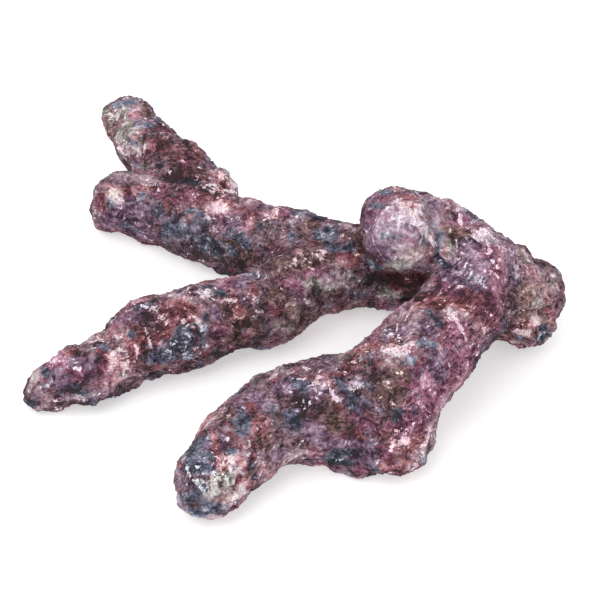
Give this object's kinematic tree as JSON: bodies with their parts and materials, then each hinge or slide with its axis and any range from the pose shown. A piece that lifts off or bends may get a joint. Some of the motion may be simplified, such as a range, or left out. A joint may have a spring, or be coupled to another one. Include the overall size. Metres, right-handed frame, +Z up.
{
  "type": "dry reef rock",
  "caption": "Branching piece of dry reef rock with long rounded arms and an arch, for stacking in an aquarium aquascape.",
  "frame": {"origin": "middle of the rock's footprint, on the surface that it lies on", "axes": "+Z up; the picture's camera looks along +Y and 40 degrees down, so +X is to its right; the long arms lie along -X, and the forked far end points away along +Y"},
  "size_m": [0.402, 0.4542, 0.1306],
  "materials": {
    "hub_stone": "matte, rough maroon and mauve coralline crust",
    "far_finger_stone": "matte, rough grey-green and pink-white crust at the tip",
    "back_arm_stone": "matte, rough maroon, mauve and slate crust",
    "middle_arm_stone": "matte, rough maroon crust with pink and slate patches",
    "head_stone": "matte, finely speckled lilac and pale pink crust",
    "front_leg_stone": "matte, rough purple and maroon crust with pale flecks",
    "right_stub_stone": "matte, rough layered crust with a cream broken end"
  },
  "bodies": {
    "root": {"hub": "hub_stone", "far_finger": "far_finger_stone", "back_arm": "back_arm_stone", "middle_arm": "middle_arm_stone", "head": "head_stone", "front_leg": "front_leg_stone", "right_stub": "right_stub_stone"}
  },
  "joints": []
}
